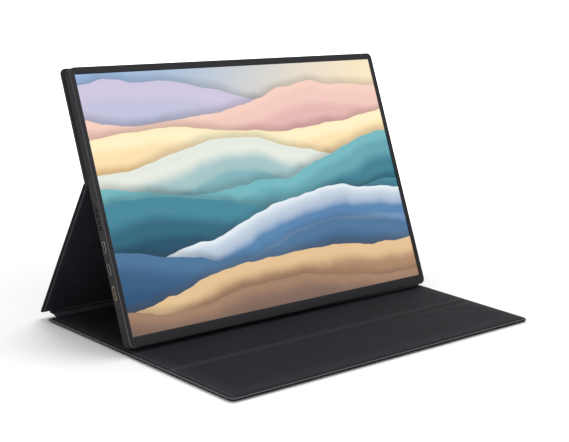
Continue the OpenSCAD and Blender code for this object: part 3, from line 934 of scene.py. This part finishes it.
def front_frame():
    """The thin frame round the picture, with a shinier outer edge whose lighter colour is a painted
    highlight.
    """
    box = low, high = display.box("front_frame")
    hole = window()
    back, front = low[2], high[2]
    inside = display.box("lcd_cell")[1][2] + FRAME_OVER_GLASS
    loops = [inset_loop(box, SEAM, back, CORNER_R), inset_loop(box, 0, back + SEAM, CORNER_R)]
    loops += [round_edge_loop(box, front, -1, angle, FRAME_ROUND, FRAME_LOWER_ROUND)
              for angle in (90, 65, 45, 25, 8, 0)]
    loops += [inset_loop(hole, -away, front - drop, OPENING_R) for away, drop in OPENING_EDGE]
    loops += [inset_loop(hole, 0, inside, OPENING_R), inset_loop(hole, -FRAME_LIP, inside, OPENING_R),
              inset_loop(box, FRAME_W, inside, CORNER_R), inset_loop(box, FRAME_W, back, CORNER_R)]
    made = loft("display_frame", loops, closed=True, smooth_angle=CRISP_ANGLE)

    def on_edge(face):
        inset = min(face.center.x - low[0], high[0] - face.center.x, high[1] - face.center.dot(display.up))
        slanted = EDGE_SLANT[0] < face.normal.dot(display.out) < EDGE_SLANT[1]
        return slanted and inset < CORNER_R and face.normal.dot(display.up) > -EDGE_FOOT

    # The outer edge is shinier, and its lighter grey is a painted highlight.
    edge_highlight = moulded("frame_edge_painted_highlight", (70, 70, 73), 0.36)
    dress(made, slot_material("frame_plastic"), edge_highlight, on_edge)
    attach(made, "display")
    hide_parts("front_frame")


def prism(loop, along, chamfer, depth=CUT_DEPTH):
    """A closed cutter: the loop swept from outside a wall to a depth in it, with a chamfer."""
    centre = sum(loop, Vector()) / len(loop)
    loops = [[p + (p - centre).normalized() * growth + along * distance for p in loop]
             for distance, growth in ((-CUT_FROM, CUT_FROM + chamfer), (chamfer, 0), (depth, 0))]
    return loft("cutter_part", loops, caps=True)


def stadium(width, height, steps=CORNER_STEPS):
    radius = min(width, height) / 2 - HAIR
    return rounded_loop(-width / 2, width / 2, -height / 2, height / 2, radius, steps)


def hdmi_outline(width, height):
    """The HDMI opening: a rectangle with its rear corners cut off."""
    slope = height / 3 / width
    outline = [(-0.5, 0.5), (0.5, 0.5), (0.5, -0.17), (0.5 - slope, -0.5),
               (-0.5 + slope, -0.5), (-0.5, -0.17)]
    return [(a * width, b * height) for a, b in outline]


def round_hole(node):
    """A key's or the status light's hole: its middle's (up, out), and its width."""
    gap = KEY_GAP - KEY_COLLAR if node in KEYS else LIGHT_GAP
    return display.middle(node)[1:], display.size(node)[1] + 2 * gap


def rear_housing():
    """The housing with its sockets, key holes and sound slots cut through its walls."""
    box = low, high = display.box("rear_housing")
    side, back, seam = low[0], low[2], high[2]
    edge = seam - HOUSING_UNDER_FRAME
    loops = [round_edge_loop(box, back, 1, 15 * k, REAR_ROUND, FOOT_ROUND) for k in range(7)]
    loops += [inset_loop(box, inset, out, CORNER_R)
              for inset, out in ((0, seam - SEAM), (SEAM, edge), (HOUSING_WALL, edge),
                                 (HOUSING_WALL, back + HOUSING_FLOOR))]
    made = loft("display_housing", loops, caps=True, smooth_angle=CRISP_ANGLE)
    cutters = []

    def through_side(outline, up, out, chamfer):
        loop = [display.place(side, up + a, out + b) for a, b in outline]
        cutters.append(prism(loop, Vector((1, 0, 0)), chamfer))

    sockets = {"usb_c_upper": stadium, "usb_c_lower": stadium, "mini_hdmi": hdmi_outline}
    for socket, outline in sockets.items():
        _, up, out = display.middle(socket)
        width, height = [length + 2 * OPENING_GAP for length in display.size(socket)[1:]]
        through_side(outline(width, height), up, out, OPENING_CHAMFER)
    wells = [round_hole(node) for node in KEYS + ["status_light"]]
    for (up, out), width in wells:
        through_side(stadium(width + HAIR, width, steps=10), up, out, WELL_CHAMFER)
    for speaker in ("speaker_left", "speaker_right"):
        x, up, _ = display.middle(speaker)
        for k in range(SLOTS):
            across = x + (k - (SLOTS - 1) / 2) * SLOT_PITCH
            loop = [display.place(across + a, up - SLOT_DOWN + b, back)
                    for a, b in stadium(SLOT_W, SLOT_LENGTH)]
            cutters.append(prism(loop, display.out, SLOT_CHAMFER, SLOT_DEPTH))
    cut(made, cutters)

    def in_well(face):
        """Whether a face is in the wall of a round hole, which gets near-black painted shade."""
        where = face.center.dot(display.up), face.center.dot(display.out)
        near = any(math.dist(where, middle) < width / 2 + WELL_REACH for middle, width in wells)
        return near and abs(face.normal.x) < SQUARE_ON

    # The holes' walls get near-black: painted shade.
    dress(made, slot_material("housing_metal"), slot_material("key_well"), in_well)
    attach(made, "display")
    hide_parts("rear_housing")


def screen():
    """The glass: the picture, with the panel's black border round it."""
    hole = window()
    (_, _, back), (_, _, front) = display.box("lcd_cell")
    loops = [inset_loop(hole, inset, out, GLASS_R)
             for inset, out in ((-GLASS_LIP, back), (-GLASS_LIP, front - GLASS_CHAMFER),
                                (GLASS_CHAMFER - GLASS_LIP, front))]
    loops.append(inset_loop(hole, GLASS_MASK, front, GLASS_R + GLASS_MASK))
    made = loft("screen_glass", loops, caps=True)
    half, bottom, top = hole[1][0] - GLASS_MASK, hole[0][1] + GLASS_MASK, hole[1][1] - GLASS_MASK
    mesh = made.data
    uv = mesh.uv_layers.new(name="picture")
    for loop in mesh.loops:
        co = mesh.vertices[loop.vertex_index].co
        uv.data[loop.index].uv = (co.x + half) / (2 * half), (co.dot(display.up) - bottom) / (top - bottom)
    mesh.materials.append(moulded("glass_black_border", (20, 20, 22), 0.3))
    mesh.materials.append(picture_material())
    to_front = [face for face in mesh.polygons if face.normal.dot(display.out) > LOOKS_THERE]
    max(to_front, key=lambda face: face.area).material_index = 1
    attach(made, "display")
    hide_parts("lcd_cell")


def keys():
    """Round keys with a dished face and a rounded rim, on stems that end in a collar."""
    turns = [2 * math.pi * k / KEY_SIDES for k in range(KEY_SIDES)]
    for node in KEYS:
        low, high = display.box(node)
        _, up, out = display.middle(node)
        radius = display.size(node)[1] / 2 - KEY_COLLAR
        collar = high[0] - KEY_COLLAR_T
        profile = [(max(r * radius, KEY_MIDDLE_R), low[0] + depth * MM) for r, depth in KEY_PROFILE]
        profile += [(radius, collar), (radius + KEY_COLLAR, collar), (radius + KEY_COLLAR, high[0])]
        loops = [[display.place(x, up + r * math.cos(t), out + r * math.sin(t)) for t in turns]
                 for r, x in profile]
        made = loft(node.replace("button", "key_cap"), loops, caps=True, smooth_angle=SOFT_ANGLE)
        # The stems' sides get the near-black well colour: painted shade.
        dress(made, slot_material("key_plastic"), slot_material("key_well"),
              lambda face: abs(face.normal.x) < SQUARE_ON)
        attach(made, node.replace("button", "key"))
        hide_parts(node)


def contacts(name, tongue, layout, share=(0, 1)):
    """Gold strips on both faces of a socket's tongue, or of a share of the node's length."""
    count, pitch, width = layout
    low, high = display.box(tongue)
    middle = low[1] + (high[1] - low[1]) * sum(share) / 2
    # Along the tongue: where a strip's tip begins, where it is full, and where it ends.
    sections = ((low[0] + 0.25 * MM, CONTACT_TIP), (low[0] + 0.35 * MM, 1), (high[0] - 0.3 * MM, 1))
    strips = []
    for k in range(count):
        up = middle + (k - (count - 1) / 2) * pitch
        for out, sign in ((low[2], -1), (high[2], 1)):
            loops = []
            for x, size in sections:
                half, proud = width * size / 2, CONTACT_T * size
                corners = (-half, -CONTACT_SUNK), (half, -CONTACT_SUNK), (half, proud), (-half, proud)
                loops.append([display.place(x, up + a, out + sign * b) for a, b in corners])
            strips.append(loft("strip", loops, caps=True))
    made = joined(name, strips)
    dress(made, slot_material("socket_gold"))
    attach(made, "display")


# ---- Stage, light and camera ----

WHITE = (1.0, 1.0, 1.0, 1)
FLOOR_BOUNCE = (0.8, 0.8, 0.8, 1)
FLOOR_FADE = (0.3, 0.7)
FLOOR_REACH = 6.0
FLOOR_LEVEL = -1.2 * MM
AMBIENT = 0.7
# Each lamp's place, aim, size and watts.
SOFTBOXES = {
    "key_light": ((1.0, 0.8, 2.2), (0, 0, 0.05), (2.0, 2.0), 32),
    "low_fill": ((-0.36, -0.14, 0.035), (-0.18, 0.03, 0.02), (0.2, 0.05), 0.3),
}


def seen_directly(tree):
    """1 for what the camera sees, straight or through a reflection or glass; otherwise 0."""
    ray = tree.nodes.new("ShaderNodeLightPath").outputs
    seen = tree.math("MAXIMUM", ray["Is Camera Ray"], ray["Is Glossy Ray"])
    return tree.math("MAXIMUM", seen, ray["Is Transmission Ray"])


def stage():
    """A white floor that keeps the shadow near the object and is plain white further out."""
    floor = bpy.data.meshes.new("floor")
    corners = [(FLOOR_REACH * x, FLOOR_REACH * y, FLOOR_LEVEL)
               for x, y in ((-1, -1), (1, -1), (1, 1), (-1, 1))]
    floor.from_pydata(corners, [], [(0, 1, 2, 3)])
    shader = Shader("floor_white", roughness=1.0, specular=0.0)
    seen = seen_directly(shader)
    shader.set("Base Color", shader.mix(seen, FLOOR_BOUNCE, WHITE))
    distance = shader.add("ShaderNodeVectorMath", {0: shader.place()}, output=1, operation="LENGTH")
    far = shader.step(distance, *FLOOR_FADE)
    shader.set("Emission Color", WHITE)
    shader.set("Emission Strength", shader.times(far, seen))
    floor.materials.append(shader.material)
    added("floor", floor)


def world():
    """A white world, at its full strength only where the camera sees it."""
    made = bpy.data.worlds.new("studio")
    tree = Nodes(made)
    background = tree.nodes["Background"].inputs
    tree.put(background["Color"], WHITE)
    tree.put(background["Strength"], tree.between(seen_directly(tree), AMBIENT, 1.0))
    bpy.context.scene.world = made


def softbox(name, place, aim, size, watts):
    """An area lamp at a place, aimed at another."""
    data = bpy.data.lights.new(name, "AREA")
    data.shape = "RECTANGLE"
    data.size, data.size_y = size
    data.energy = watts
    lamp = added(name, data)
    lamp.location = place
    lamp.rotation_mode = "QUATERNION"
    lamp.rotation_quaternion = (Vector(aim) - Vector(place)).to_track_quat("-Z", "Y")


def camera():
    """The photograph's camera, aimed above the monitor's foot, by AIM_RIGHT and AIM_UP off it."""
    a, e, roll = CAMERA_AZIMUTH, CAMERA_ELEVATION, CAMERA_ROLL
    back = Vector((math.sin(a) * math.cos(e), -math.cos(a) * math.cos(e), math.sin(e)))
    level_right = UP.cross(back).normalized()
    level_up = back.cross(level_right)
    right = level_right * math.cos(roll) + level_up * math.sin(roll)
    up = level_up * math.cos(roll) - level_right * math.sin(roll)
    foot_y = display.place(0, display.box("front_frame")[0][1], display.box("rear_housing")[0][2]).y
    aim = Vector((0, foot_y, AIM_HEIGHT)) + right * AIM_RIGHT + up * AIM_UP
    data = bpy.data.cameras.new("camera")
    data.sensor_fit = "HORIZONTAL"
    data.sensor_width = SENSOR
    data.lens = FOCAL_PIXELS / PHOTO_W * SENSOR
    data.clip_start, data.clip_end = CLIP
    made = added("camera", data)
    turn = Matrix((right, up, back)).transposed()
    made.matrix_world = Matrix.Translation(aim + back * CAMERA_DISTANCE) @ turn.to_4x4()
    bpy.context.scene.camera = made


camera()
dress_frame()
base_cover()
stiff_cover("leg", "leg", leg, FOLD_RIM_W, REAR_CORNER_R, leg_lining, -SIDEWAYS)
stiff_cover("upper", "display", display, RIM_W, FRONT_CORNER_R, upper_lining_lit, SIDEWAYS)
upper_fold()
lower_fold()
front_frame()
rear_housing()
screen()
keys()
contacts("usb_contacts_upper", "usb_c_tongues", USB_CONTACTS, (1 - USB_SHARE, 1))
contacts("usb_contacts_lower", "usb_c_tongues", USB_CONTACTS, (0, USB_SHARE))
contacts("hdmi_contacts", "mini_hdmi_tongue", HDMI_CONTACTS)
stage()
world()
for lamp_name, settings in SOFTBOXES.items():
    softbox(lamp_name, *settings)
bpy.context.scene.view_settings.view_transform = "Standard"
